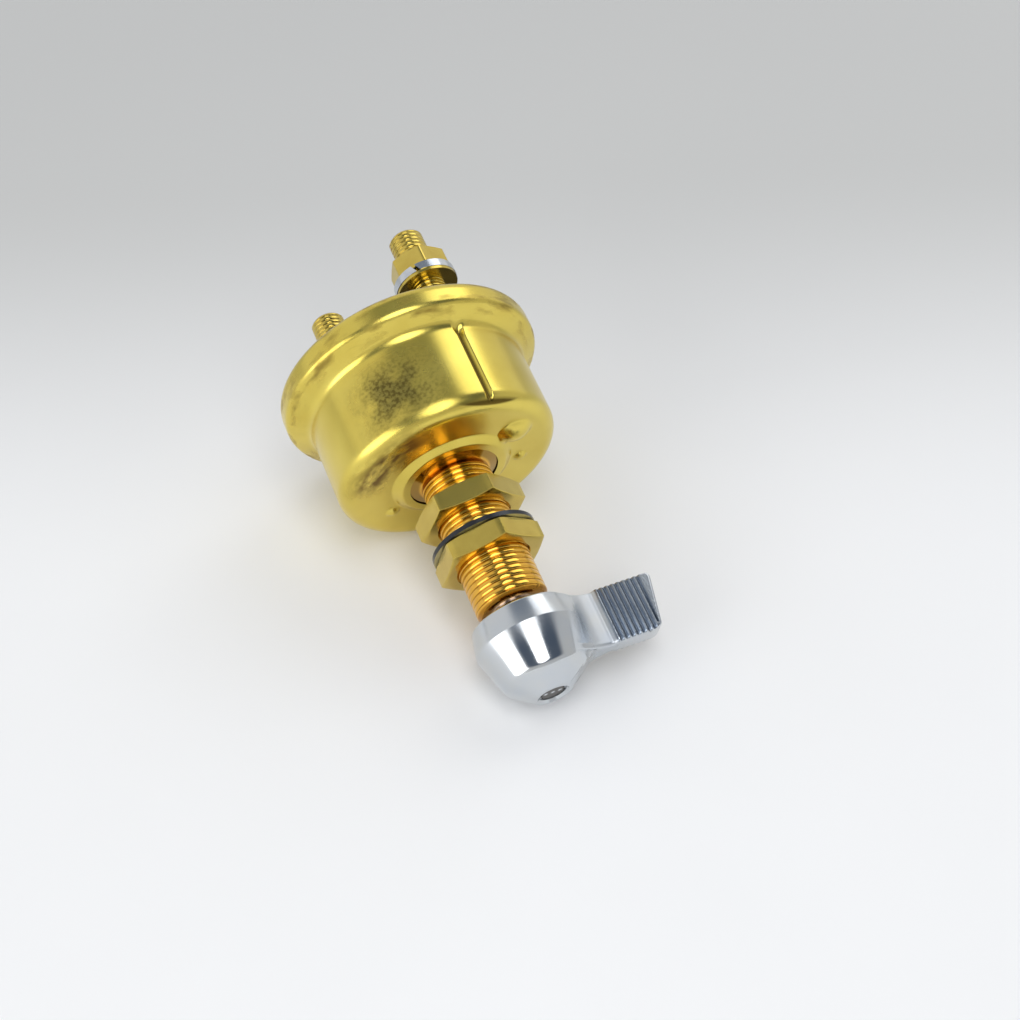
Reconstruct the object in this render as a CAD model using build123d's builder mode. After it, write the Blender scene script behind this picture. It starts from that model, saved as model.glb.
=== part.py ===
# Battery disconnect switch: a drawn brass can with a threaded stem, a turning lever and two terminal studs.
# The stem's axis lies along Y, with the lever towards -Y, the studs towards +Y and the lever's arm along +X.
# The origin is on that axis, on the front face of the rear nut, where the panel is clamped.
import os
from math import asin, cos, degrees, hypot, radians, sin, sqrt, tan

from build123d import *

os.makedirs("parts", exist_ok=True)

# Threaded stem and its nuts
stem_diameter = 19.05
stem_chamfer = 0.9
stem_free_thread = 13.1
stem_flange_diameter = 41.0
stem_flange_thickness = 3.0
stem_spigot_setback = 0.7
panel_room = 6.1
nut_thickness = 5.8
nut_across_flats = 25.4
rear_nut_turn = 14.0
front_nut_turn = 22.0
nut_bevel_angle = 16.0
thread_clearance = 0.05
tooth_washer_diameter = 28.0
tooth_washer_thickness = 1.2
tooth_count = 12
tooth_slot = 1.6
tooth_depth = 2.2

# Drawn housing
sheet = 1.0
wall_diameter = 60.6
rim_diameter = 71.6
housing_depth = 35.2
collar_reach = 8.1
collar_height = 1.5
collar_hole_diameter = 24.6
collar_top_diameter = 29.0
collar_base_diameter = 33.4
collar_top_radius = 1.0
collar_base_radius = 1.0
edge_radius = 3.4
rim_band = 6.9
rim_flare = 3.2
flare_radius = 2.6
rim_front_radius = 1.8
rim_back_radius = 2.8
lip_width = 4.3
groove_angle = 73.0
groove_radius = 1.5
groove_depth = 1.1
rib_setback = 2.6
bump_diameter = 8.4
bump_height = 1.7
bump_round = 1.3
bump_orbit = 20.4
bump_angle = 36.5
nib_diameter = 2.8
nib_height = 0.5
nib_orbit = 19.5
nib_angles = (-4.0, 214.0)

# Insulating base and terminal studs
seat_clearance = 0.05
base_spigot_clearance = 0.15
base_thickness = 9.5
stud_diameter = 9.525
stud_spacing = 35.8
stud_angle = 51.0
stud_reach = 32.2
stud_chamfer = 0.8
stud_head_diameter = 15.0
stud_head_thickness = 4.0
contact_proud = 1.5
stud_nut_across_flats = 14.3
fixing_nut_thickness = 4.0
terminal_nut_thickness = 6.0
terminal_nut_turn = 30.0
stud_free_thread = 8.8
lock_washer_diameter = 17.3
lock_washer_thickness = 2.2
lock_washer_slit = 1.0
lock_washer_slant = 25.0
lock_washer_slit_angle = 113.0
flat_washer_diameter = 17.0
flat_washer_thickness = 0.9

# Shaft and what it turns
shaft_diameter = 9.5
running_clearance = 0.05
face_clearance = 0.05
thrust_washer_diameter = 20.0
thrust_washer_thickness = 1.0
shaft_collar_diameter = 16.0
shaft_collar_thickness = 2.0
shaft_square = 6.5
shaft_square_length = 9.0
serrated_diameter = 6.4
serrated_length = 8.0
serration_count = 12
serration_radius = 0.4
seal_section = 1.5
seal_groove_clearance = 0.05
seal_setback = 4.0
rotor_clearance = 0.5
rotor_thickness = 5.5
rotor_front_gap = 1.5
stop_clearance = 0.15
quarter_turn = 90.0
boss_square = 10.0
boss_end_gap = 1.0
fit_clearance = 0.1
bridge_length = 46.0
bridge_width = 12.0
bridge_thickness = 3.0
bridge_end_radius = 2.0
spring_wire = 1.4
spring_turns = 3.5
spring_room = 0.8

# Die-cast lever
lever_gap = 3.2
hub_back_diameter = 25.6
hub_belly_diameter = 28.0
hub_front_diameter = 21.6
hub_length = 17.0
hub_belly_place = 6.4
hub_edge_round = 0.7
hub_shoulder_round = 2.0
nose_height = 4.7
nose_rim_diameter = 10.2
nose_rim_round = 0.8
nose_recess_diameter = 7.4
nose_recess_depth = 1.2
nose_recess_edge = 0.6
arm_reach = 35.8
arm_width = 15.2
arm_setback = 0.3
arm_end_slant = 12.0
arm_end_round = 1.6
neck_thickness = 4.0
neck_end = 18.9
neck_root = 6.0
neck_root_thickness = 17.6
neck_radius = 40.0
paddle_start = 20.4
paddle_thickness = 6.8
rib_count = 8
rib_pitch = 1.54
rib_depth = 0.6

# Places along the stem's axis
panel_seat = 0.0
washer_back = panel_seat - panel_room
front_nut_front = washer_back - tooth_washer_thickness - nut_thickness
stem_end = front_nut_front - stem_free_thread
collar_face = panel_seat + nut_thickness + collar_reach
housing_face = collar_face + collar_height
rim_back = housing_face + housing_depth
rim_front = rim_back - rim_band
wall_end = rim_front - rim_flare
flange_front = housing_face + sheet
flange_back = flange_front + stem_flange_thickness
thrust_back = flange_back + thrust_washer_thickness
shaft_collar_front = thrust_back + face_clearance
shaft_collar_back = shaft_collar_front + shaft_collar_thickness
rotor_front = flange_back + rotor_front_gap
rotor_back = rotor_front + rotor_thickness
base_back = rim_back - sheet - seat_clearance
base_face = base_back - base_thickness
groove_end = base_face - seat_clearance
rib_front = housing_face + rib_setback
contact_face = base_face - contact_proud
bridge_back = contact_face - face_clearance
bridge_front = bridge_back - bridge_thickness
boss_back = bridge_back - boss_end_gap
stud_tip = base_back + stud_reach
hub_back = stem_end - lever_gap
hub_front = hub_back - hub_length
nose_end = hub_front - nose_height
nose_floor = nose_end + nose_recess_depth
serrated_start = nose_floor + serrated_length

# Radii and angles used by more than one piece
stem_radius = stem_diameter / 2
shaft_radius = shaft_diameter / 2
stem_bore = shaft_radius + running_clearance
wall_radius = wall_diameter / 2
rim_radius = rim_diameter / 2
inner_wall = wall_radius - sheet
stud_radius = stud_diameter / 2
stud_orbit = stud_spacing / 2
bridge_angle = stud_angle + quarter_turn
groove_orbit = wall_radius - groove_depth + groove_radius
rib_reach = groove_orbit - groove_radius - sheet


def square_to_stem(place):
    """The plane across the stem at this place on its axis, seen from the lever's end."""
    return Plane.XZ.offset(-place)


def orbit_point(orbit, angle):
    """The point across the stem at this distance from its axis, angle counted from the lever's arm."""
    return (orbit * cos(radians(angle)), orbit * sin(radians(angle)))


def finish(builder, name):
    """Name the finished piece and write it out."""
    builder.part.label = name
    export_step(builder.part, f"parts/{name}.step")


def hex_nut(name, across_flats, thickness, bore, front, turn, centre=(0.0, 0.0)):
    """A hex nut with both faces bevelled to a washer circle, its front face at this place."""
    corner = across_flats / 2 / cos(radians(30))
    bevel = (corner - across_flats / 2) * tan(radians(nut_bevel_angle))
    axis = Axis((centre[0], 0, centre[1]), (0, 1, 0))
    with BuildPart() as nut:
        with BuildSketch(square_to_stem(front)):
            with Locations(centre):
                RegularPolygon(across_flats / 2, 6, major_radius=False, rotation=turn)
                Circle(bore, mode=Mode.SUBTRACT)
        extrude(amount=-thickness)
        with BuildSketch(Plane((centre[0], front, centre[1]))):
            with BuildLine():
                Polyline(
                    (0, 0),
                    (across_flats / 2, 0),
                    (corner, bevel),
                    (corner, thickness - bevel),
                    (across_flats / 2, thickness),
                    (0, thickness),
                    close=True,
                )
            make_face()
        revolve(axis=axis, mode=Mode.INTERSECT)
    finish(nut, name)


# Housing: drawn can with a raised collar, a flared and rolled rim, a pressed groove and its inner rib
with BuildPart() as housing:
    with BuildSketch(Plane.XY):
        with BuildLine():
            FilletPolyline(
                (collar_hole_diameter / 2, collar_face),
                (collar_top_diameter / 2, collar_face),
                (collar_base_diameter / 2, housing_face),
                (wall_radius, housing_face),
                (wall_radius, wall_end),
                (rim_radius, rim_front),
                (rim_radius, rim_back),
                (rim_radius - lip_width, rim_back),
                radius=[
                    collar_top_radius,
                    collar_base_radius,
                    edge_radius,
                    flare_radius,
                    rim_front_radius,
                    rim_back_radius,
                ],
            )
            offset(amount=sheet, side=Side.LEFT)
        make_face()
    revolve(axis=Axis.Y)
    # The rib stands inside the wall, behind the front edge's rounding
    with BuildSketch(square_to_stem(groove_end)):
        with Locations(orbit_point(groove_orbit, groove_angle)):
            Circle(groove_radius + sheet)
        Circle(wall_radius - sheet / 2, mode=Mode.INTERSECT)
    extrude(amount=groove_end - rib_front)
    with BuildSketch(square_to_stem(groove_end)):
        with Locations(orbit_point(groove_orbit, groove_angle)):
            Circle(groove_radius)
    extrude(amount=groove_end - housing_face, mode=Mode.SUBTRACT)
    # One hollow bump and two small nibs are pressed out of the front face
    with BuildSketch(square_to_stem(housing_face + sheet / 2)):
        with Locations(orbit_point(bump_orbit, bump_angle)):
            Circle(bump_diameter / 2)
    extrude(amount=bump_height + sheet / 2)
    fillet(housing.edges(Select.LAST).sort_by(Axis.Y)[0], bump_round)
    with BuildSketch(square_to_stem(housing_face + sheet)):
        with Locations(orbit_point(bump_orbit, bump_angle)):
            Circle(bump_diameter / 2 - sheet)
    extrude(amount=bump_height, mode=Mode.SUBTRACT)
    with BuildSketch(square_to_stem(housing_face + sheet / 2)):
        with Locations([orbit_point(nib_orbit, angle) for angle in nib_angles]):
            Circle(nib_diameter / 2)
    extrude(amount=nib_height + sheet / 2)
finish(housing, "housing")

# Threaded stem: turned bushing with a flange inside the housing's face and a spigot in the collar's hole
spigot_end = collar_face + stem_spigot_setback
stem_spigot_radius = collar_hole_diameter / 2 - fit_clearance
with BuildPart() as threaded_stem:
    with BuildSketch(Plane.XY):
        with BuildLine():
            Polyline(
                (stem_bore, stem_end),
                (stem_radius - stem_chamfer, stem_end),
                (stem_radius, stem_end + stem_chamfer),
                (stem_radius, spigot_end),
                (stem_spigot_radius, spigot_end),
                (stem_spigot_radius, flange_front),
                (stem_flange_diameter / 2, flange_front),
                (stem_flange_diameter / 2, flange_back),
                (stem_bore, flange_back),
                close=True,
            )
        make_face()
    revolve(axis=Axis.Y)
finish(threaded_stem, "threaded_stem")

# Nuts that clamp the panel, and the toothed washer behind the front one
nut_bore = stem_radius + thread_clearance
hex_nut("rear_jam_nut", nut_across_flats, nut_thickness, nut_bore, panel_seat, rear_nut_turn)
hex_nut("front_mounting_nut", nut_across_flats, nut_thickness, nut_bore, front_nut_front, front_nut_turn)

with BuildPart() as mounting_lock_washer:
    with BuildSketch(square_to_stem(washer_back)):
        Circle(tooth_washer_diameter / 2)
        Circle(nut_bore, mode=Mode.SUBTRACT)
        with PolarLocations(nut_bore, tooth_count):
            Rectangle(2 * tooth_depth, tooth_slot, mode=Mode.SUBTRACT)
    extrude(amount=tooth_washer_thickness)
finish(mounting_lock_washer, "mounting_lock_washer")

# Base plate: moulded disc with a spigot in the can's bore and a bevelled flange clamped in the rolled rim
flare_length = hypot(rim_radius - wall_radius, rim_flare)
flare_run = (rim_radius - wall_radius) / rim_flare
seat_offset = (sheet + seat_clearance) * flare_length / (rim_radius - wall_radius)
base_radius = rim_radius - sheet - seat_clearance
spigot_radius = inner_wall - base_spigot_clearance
base_corner = rim_back_radius - sheet + seat_clearance
with BuildPart() as base_plate:
    with BuildSketch(Plane.XY):
        with BuildLine():
            FilletPolyline(
                (0, base_face),
                (spigot_radius, base_face),
                (spigot_radius, wall_end + seat_offset + (spigot_radius - wall_radius) / flare_run),
                (base_radius, wall_end + seat_offset + (base_radius - wall_radius) / flare_run),
                (base_radius, base_back),
                (0, base_back),
                radius=[0, 0, 0, rim_front_radius, base_corner, 0],
                close=True,
            )
        make_face()
    revolve(axis=Axis.Y)
    # Level pads beside the stud heads carry the bridge while the switch is off
    with BuildSketch(square_to_stem(base_face)):
        for pad_angle in (stud_angle + quarter_turn, stud_angle - quarter_turn):
            with Locations(orbit_point(stud_orbit, pad_angle)):
                Rectangle(bridge_width, bridge_width, rotation=pad_angle)
    extrude(amount=contact_proud)
    for angle in (stud_angle, stud_angle + 180):
        with BuildSketch(square_to_stem(base_back)):
            with Locations(orbit_point(stud_orbit, angle)):
                Circle(stud_radius + seat_clearance)
        extrude(amount=base_thickness, mode=Mode.SUBTRACT)
        with BuildSketch(square_to_stem(contact_face + stud_head_thickness)):
            with Locations(orbit_point(stud_orbit, angle)):
                Circle(stud_head_diameter / 2 + seat_clearance)
        extrude(amount=stud_head_thickness, mode=Mode.SUBTRACT)
finish(base_plate, "base_plate")

# Terminal studs with their contact heads inside, fixing nuts, flat and split washers and terminal nuts
terminal_nut_front = stud_tip - stud_free_thread - terminal_nut_thickness
stud_bore = stud_radius + thread_clearance
for side, angle in (("a", stud_angle), ("b", stud_angle + 180)):
    stud_centre = orbit_point(stud_orbit, angle)
    stud_origin = (stud_centre[0], 0, stud_centre[1])

    with BuildPart() as terminal_stud:
        with BuildSketch(Plane(stud_origin)):
            with BuildLine():
                Polyline(
                    (0, contact_face),
                    (stud_head_diameter / 2, contact_face),
                    (stud_head_diameter / 2, contact_face + stud_head_thickness),
                    (stud_radius, contact_face + stud_head_thickness),
                    (stud_radius, stud_tip - stud_chamfer),
                    (stud_radius - stud_chamfer, stud_tip),
                    (0, stud_tip),
                    close=True,
                )
            make_face()
        revolve(axis=Axis(stud_origin, (0, 1, 0)))
    finish(terminal_stud, f"terminal_stud_{side}")

    for nut_name, thickness, front in (
        ("stud_fixing_nut", fixing_nut_thickness, base_back),
        ("terminal_nut", terminal_nut_thickness, terminal_nut_front),
    ):
        nut_label = f"{nut_name}_{side}"
        hex_nut(nut_label, stud_nut_across_flats, thickness, stud_bore, front, terminal_nut_turn, stud_centre)

    with BuildPart() as lock_washer:
        with BuildSketch(square_to_stem(terminal_nut_front)):
            with Locations(stud_centre):
                Circle(lock_washer_diameter / 2)
                Circle(stud_bore, mode=Mode.SUBTRACT)
        extrude(amount=lock_washer_thickness)
        slit_place = (stud_centre[0], terminal_nut_front - lock_washer_thickness / 2, stud_centre[1])
        out_x, out_z = orbit_point(1, lock_washer_slit_angle)
        with BuildSketch(Plane(slit_place, x_dir=(-out_z, 0, out_x), z_dir=(out_x, 0, out_z))):
            Rectangle(lock_washer_slit, 2 * lock_washer_thickness, rotation=lock_washer_slant)
        extrude(amount=lock_washer_diameter, mode=Mode.SUBTRACT)
    finish(lock_washer, f"lock_washer_{side}")

    with BuildPart() as flat_washer:
        with BuildSketch(square_to_stem(terminal_nut_front - lock_washer_thickness)):
            with Locations(stud_centre):
                Circle(flat_washer_diameter / 2)
                Circle(stud_bore, mode=Mode.SUBTRACT)
        extrude(amount=flat_washer_thickness)
    finish(flat_washer, f"flat_washer_{side}")

# Thrust washer between the stem's flange and the shaft's collar
with BuildPart() as thrust_washer:
    with BuildSketch(square_to_stem(thrust_back)):
        Circle(thrust_washer_diameter / 2)
        Circle(stem_bore, mode=Mode.SUBTRACT)
    extrude(amount=thrust_washer_thickness)
finish(thrust_washer, "thrust_washer")

# Shaft: collar and square inside, a groove for the seal, a serrated end in the lever's nose
seal_front = stem_end + seal_setback
seal_back = seal_front + seal_section + 2 * seal_groove_clearance
seal_root = shaft_radius - seal_section
with BuildPart() as shaft:
    with BuildSketch(Plane.XY):
        with BuildLine():
            Polyline(
                (0, nose_floor - nose_recess_depth / 2),
                (serrated_diameter / 2, nose_floor - nose_recess_depth / 2),
                (serrated_diameter / 2, serrated_start),
                (shaft_radius, serrated_start),
                (shaft_radius, seal_front),
                (seal_root, seal_front),
                (seal_root, seal_back),
                (shaft_radius, seal_back),
                (shaft_radius, shaft_collar_front),
                (shaft_collar_diameter / 2, shaft_collar_front),
                (shaft_collar_diameter / 2, shaft_collar_back),
                (0, shaft_collar_back),
                close=True,
            )
        make_face()
    revolve(axis=Axis.Y)
    with BuildSketch(square_to_stem(shaft_collar_back + shaft_square_length)):
        Rectangle(shaft_square, shaft_square, rotation=bridge_angle)
    extrude(amount=shaft_square_length)
    with BuildSketch(square_to_stem(serrated_start)):
        with PolarLocations(serrated_diameter / 2, serration_count):
            Circle(serration_radius)
    extrude(amount=serrated_length + nose_recess_depth, mode=Mode.SUBTRACT)
finish(shaft, "shaft")

# Seal ring in the shaft's groove
with BuildPart() as shaft_seal:
    with BuildSketch(Plane.XY):
        with Locations((shaft_radius - seal_section / 2, (seal_front + seal_back) / 2)):
            Circle(seal_section / 2)
    revolve(axis=Axis.Y)
finish(shaft_seal, "shaft_seal")

# Rotor: moulded disc notched for the housing's rib, with a square boss that drives the bridge
rotor_radius = inner_wall - rotor_clearance
notch_radius = rib_reach - rotor_clearance
rib_half_width = sqrt((groove_radius + sheet) ** 2 - (groove_orbit - rotor_radius) ** 2)
notch_margin = degrees(asin((rib_half_width + stop_clearance) / rotor_radius))
square_hole = shaft_square + 2 * fit_clearance
with BuildPart() as rotor_carrier:
    with BuildSketch(square_to_stem(rotor_back)):
        Circle(rotor_radius)
        with BuildLine():
            notch_start = groove_angle - quarter_turn - notch_margin
            notch_sweep = quarter_turn + 2 * notch_margin
            outer_arc = CenterArc((0, 0), rotor_radius + sheet, notch_start, notch_sweep)
            inner_arc = CenterArc((0, 0), notch_radius, notch_start, notch_sweep)
            Line(outer_arc @ 0, inner_arc @ 0)
            Line(outer_arc @ 1, inner_arc @ 1)
        make_face(mode=Mode.SUBTRACT)
    extrude(amount=rotor_thickness)
    with BuildSketch(square_to_stem(boss_back)):
        Rectangle(boss_square, boss_square, rotation=bridge_angle)
    extrude(amount=boss_back - rotor_back)
    with BuildSketch(square_to_stem(shaft_collar_back)):
        Circle(shaft_collar_diameter / 2 + fit_clearance)
    extrude(amount=shaft_collar_back - rotor_front, mode=Mode.SUBTRACT)
    with BuildSketch(square_to_stem(shaft_collar_back + shaft_square_length + fit_clearance)):
        Rectangle(square_hole, square_hole, rotation=bridge_angle)
    extrude(amount=shaft_square_length + fit_clearance, mode=Mode.SUBTRACT)
finish(rotor_carrier, "rotor_carrier")

# Contact bridge: copper bar that slides on the stud heads
bridge_hole = boss_square + 2 * fit_clearance
with BuildPart() as contact_bridge:
    with BuildSketch(square_to_stem(bridge_back)):
        RectangleRounded(bridge_length, bridge_width, bridge_end_radius, rotation=bridge_angle)
        Rectangle(bridge_hole, bridge_hole, rotation=bridge_angle, mode=Mode.SUBTRACT)
    extrude(amount=bridge_thickness)
finish(contact_bridge, "contact_bridge")

# Contact spring round the rotor's boss, between the rotor and the bridge
spring_radius = boss_square / sqrt(2) + spring_room + spring_wire / 2
spring_height = bridge_front - rotor_back - spring_wire - 2 * face_clearance
with BuildPart() as contact_spring:
    with BuildLine() as coil:
        Helix(
            spring_height / spring_turns,
            spring_height,
            spring_radius,
            center=(0, rotor_back + spring_wire / 2 + face_clearance, 0),
            direction=(0, 1, 0),
        )
    with BuildSketch(Plane(coil.line @ 0, z_dir=coil.line % 0)):
        Circle(spring_wire / 2)
    sweep()
finish(contact_spring, "contact_spring")

# Lever: die-cast hub with a pointed nose, a waisted neck and a ribbed thumb paddle with a slanted end
hub_belly = hub_back - hub_belly_place
arm_back = hub_back - arm_setback
arm_front = arm_back - arm_width
front_reach = arm_reach - arm_width * tan(radians(arm_end_slant))
rib_centre = (paddle_start + front_reach) / 2
rib_square = rib_depth * sqrt(2)
with BuildPart() as lever:
    with BuildSketch(square_to_stem(arm_back)):
        with BuildLine():
            root = neck_root_thickness / 2
            waist = neck_thickness / 2
            upper_neck = RadiusArc((neck_root, root), (neck_end, waist), -neck_radius)
            lower_neck = RadiusArc((neck_root, -root), (neck_end, -waist), neck_radius)
            Polyline(
                upper_neck @ 1,
                (paddle_start, paddle_thickness / 2),
                (arm_reach, paddle_thickness / 2),
                (arm_reach, -paddle_thickness / 2),
                (paddle_start, -paddle_thickness / 2),
                lower_neck @ 1,
            )
            Line(upper_neck @ 0, lower_neck @ 0)
        make_face()
    extrude(amount=arm_width)
    with BuildSketch(Plane.XY):
        with BuildLine():
            Polyline((arm_reach, arm_back), (arm_reach, arm_front), (front_reach, arm_front), close=True)
        make_face()
    extrude(amount=paddle_thickness, both=True, mode=Mode.SUBTRACT)
    fillet(lever.faces().sort_by(Axis.X)[-1].edges().filter_by(Axis.Z), arm_end_round)
    with BuildSketch(square_to_stem(arm_back)):
        with Locations((rib_centre, 0)):
            with GridLocations(rib_pitch, paddle_thickness, rib_count, 2):
                Rectangle(rib_square, rib_square, rotation=45)
    extrude(amount=arm_width, mode=Mode.SUBTRACT)
    with BuildSketch(Plane.XY):
        with BuildLine():
            barrel = FilletPolyline(
                (0, hub_back),
                (hub_back_diameter / 2, hub_back),
                (hub_belly_diameter / 2, hub_belly),
                (hub_front_diameter / 2, hub_front),
                (nose_rim_diameter / 2, nose_end),
                (nose_recess_diameter / 2 + nose_recess_edge, nose_end),
                radius=[hub_edge_round, 0, hub_shoulder_round, nose_rim_round],
            )
            Polyline(
                barrel @ 1,
                (nose_recess_diameter / 2, nose_end + nose_recess_edge),
                (nose_recess_diameter / 2, nose_floor),
                (0, nose_floor),
                (0, hub_back),
            )
        make_face()
    revolve(axis=Axis.Y)
    with BuildSketch(square_to_stem(hub_back)):
        Circle(shaft_radius + fit_clearance)
    extrude(amount=hub_back - serrated_start + fit_clearance, mode=Mode.SUBTRACT)
    with BuildSketch(square_to_stem(hub_back)):
        Circle(serrated_diameter / 2 + fit_clearance)
    extrude(amount=hub_back - nose_end, mode=Mode.SUBTRACT)
finish(lever, "lever")
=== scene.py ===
# Battery disconnect switch: a drawn brass can with a threaded stem, a zinc lever and two terminal studs.
# All places are in metres in the frame of the CAD: the stem's axis lies along Y, the lever is towards -Y.
from math import atan2, cos, hypot, pi, radians, sin, sqrt, tan

import bmesh
import bpy
from mathutils import Matrix, Vector


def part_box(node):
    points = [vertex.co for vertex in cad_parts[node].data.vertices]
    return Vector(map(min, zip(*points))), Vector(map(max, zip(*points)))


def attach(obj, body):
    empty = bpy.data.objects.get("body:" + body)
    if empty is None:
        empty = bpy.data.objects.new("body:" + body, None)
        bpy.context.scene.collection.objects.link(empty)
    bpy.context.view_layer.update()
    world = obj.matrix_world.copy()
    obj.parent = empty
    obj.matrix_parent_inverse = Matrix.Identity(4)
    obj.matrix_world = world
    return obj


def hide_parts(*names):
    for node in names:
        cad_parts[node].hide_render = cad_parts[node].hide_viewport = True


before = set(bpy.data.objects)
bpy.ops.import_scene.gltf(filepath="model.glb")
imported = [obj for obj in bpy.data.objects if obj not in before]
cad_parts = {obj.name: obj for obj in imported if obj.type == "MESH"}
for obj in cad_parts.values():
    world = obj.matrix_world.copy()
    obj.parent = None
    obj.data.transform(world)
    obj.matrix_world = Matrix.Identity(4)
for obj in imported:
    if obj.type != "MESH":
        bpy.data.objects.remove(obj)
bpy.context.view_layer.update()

# Housing: the can is deep-drawn from 1 mm brass sheet, with a raised collar round the stem, a stop groove
# pressed into its wall, a locating bump and two nibs on its face, and a rim rolled over the base plate.
# Drawn brass is left unpolished, so it is satin, with handling stains and a patch of speckled tarnish.
MM = 0.001
housing_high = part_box("housing")[1]
sheet = 1.0 * MM
rim_radius = housing_high.x
rim_back = housing_high.y
housing_face = rim_back - 35.2 * MM
collar_face = housing_face - 1.5 * MM
collar_hole = 12.3 * MM
collar_edge = 14.5 * MM
collar_foot = 16.7 * MM
collar_round = 1.0 * MM
wall_radius = 30.3 * MM
edge_round = 4.2 * MM
wall_end = rim_back - 10.1 * MM
rim_front = rim_back - 6.9 * MM
lip_radius = rim_radius - 4.3 * MM
flare_round = 2.6 * MM
rim_front_round = 1.8 * MM
rim_back_round = 2.8 * MM
groove_angle = radians(73.0)
groove_depth = 1.15 * MM
groove_half_width = 1.3 * MM
groove_mouth = 1.6
groove_opens = (wall_end - 4.0 * MM, wall_end + 0.4 * MM)
groove_runs_out = (wall_end - 2.6 * MM, wall_end + 1.6 * MM)
bump_place = (20.4 * MM, radians(36.5))
bump_radius = 4.8 * MM
bump_height = 2.2 * MM
nib_places = ((19.5 * MM, radians(-4.0)), (19.5 * MM, radians(214.0)))
nib_radius = 1.9 * MM
nib_height = 1.0 * MM
housing_columns = 480
groove_columns = 4
groove_spread = radians(4.5)
arc_step = radians(11.0)
longest_stretch = 0.45 * MM
inner_thinning = 3
face_tolerance = 0.01 * MM
merge_distance = 0.001 * MM


def rounded_line(corners):
    """Points of a line through (radius, place, rounding) corners, each corner turned into an arc."""
    points = []
    for index, (radius, place, rounding) in enumerate(corners):
        here = Vector((radius, place))
        if rounding == 0:
            points.append(here)
            continue
        into = (here - Vector(corners[index - 1][:2])).normalized()
        out = (Vector(corners[index + 1][:2]) - here).normalized()
        turn = into.angle_signed(out)
        reach = rounding * tan(abs(turn) / 2)
        side = -1 if turn > 0 else 1
        centre = here - into * reach + Vector((-into.y, into.x)) * rounding * side
        start = here - into * reach - centre
        steps = max(2, round(abs(turn) / arc_step))
        for step in range(steps + 1):
            angle = -turn * step / steps
            points.append(centre + Matrix.Rotation(angle, 2) @ start)
    return points


def divided(points, longest):
    """The same line with no stretch longer than this."""
    finer = [points[0]]
    for start, end in zip(points, points[1:]):
        pieces = max(1, round((end - start).length / longest))
        finer += [start.lerp(end, piece / pieces) for piece in range(1, pieces + 1)]
    return finer


def smooth_step(low, high, value):
    """0 below low, 1 above high, and an S-curve between them."""
    share = min(1.0, max(0.0, (value - low) / (high - low)))
    return share * share * (3 - 2 * share)


def skinned_piece(name, columns, sharp_angle=35.0, flats=None):
    """A closed mesh over columns of points; flats name columns with a stretch that is one flat face."""
    mesh = bmesh.new()
    corners = [[mesh.verts.new(point) for point in column] for column in columns]
    for number, left in enumerate(corners):
        right = corners[(number + 1) % len(corners)]
        first, last = (flats or {}).get(number, (0, 0))
        for row, above in zip(range(-1, len(left) - 1), range(len(left))):
            if not first <= row < last:
                mesh.faces.new((left[row], right[row], right[above], left[above]))
        if last > first:
            mesh.faces.new(left[first : last + 1] + right[first : last + 1][::-1])
    return finished_piece(name, mesh, sharp_angle)


def finished_piece(name, mesh, sharp_angle):
    """Merge doubled points, turn the faces outwards, shade smooth up to an angle and make the object."""
    bmesh.ops.remove_doubles(mesh, verts=mesh.verts, dist=merge_distance)
    bmesh.ops.recalc_face_normals(mesh, faces=mesh.faces)
    if mesh.calc_volume(signed=True) < 0:
        bmesh.ops.reverse_faces(mesh, faces=mesh.faces)
    for face in mesh.faces:
        face.smooth = True
    for edge in mesh.edges:
        edge.smooth = len(edge.link_faces) == 2 and edge.calc_face_angle(0.0) < radians(sharp_angle)
    data = bpy.data.meshes.new(name)
    mesh.to_mesh(data)
    mesh.free()
    piece = bpy.data.objects.new(name, data)
    bpy.context.scene.collection.objects.link(piece)
    return piece


def pressed_in(radius, place, angle):
    """How deep the stop groove is at this point of the wall; it opens out where it meets the flare."""
    opening = smooth_step(*groove_opens, place)
    half_width = groove_half_width * (1 + opening * (groove_mouth - 1))
    across = abs((angle - groove_angle + pi) % (2 * pi) - pi) * radius / half_width
    if across >= 1:
        return 0.0
    depth = groove_depth * (1 - smooth_step(*groove_runs_out, place))
    depth -= max(0.0, wall_radius - radius)
    return max(0.0, depth) * cos(pi / 2 * across) ** 2


def pressed_out(radius, angle):
    """How far the bump and the nibs stand out of the face at this point."""
    rise = 0.0
    spots = [(bump_place, bump_radius, bump_height)]
    spots += [(place, nib_radius, nib_height) for place in nib_places]
    for (orbit, spot_angle), spot_radius, height in spots:
        away = hypot(
            radius * cos(angle) - orbit * cos(spot_angle), radius * sin(angle) - orbit * sin(spot_angle)
        )
        if away < spot_radius:
            rise = max(rise, height * (1 - (away / spot_radius) ** 2))
    return rise


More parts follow.
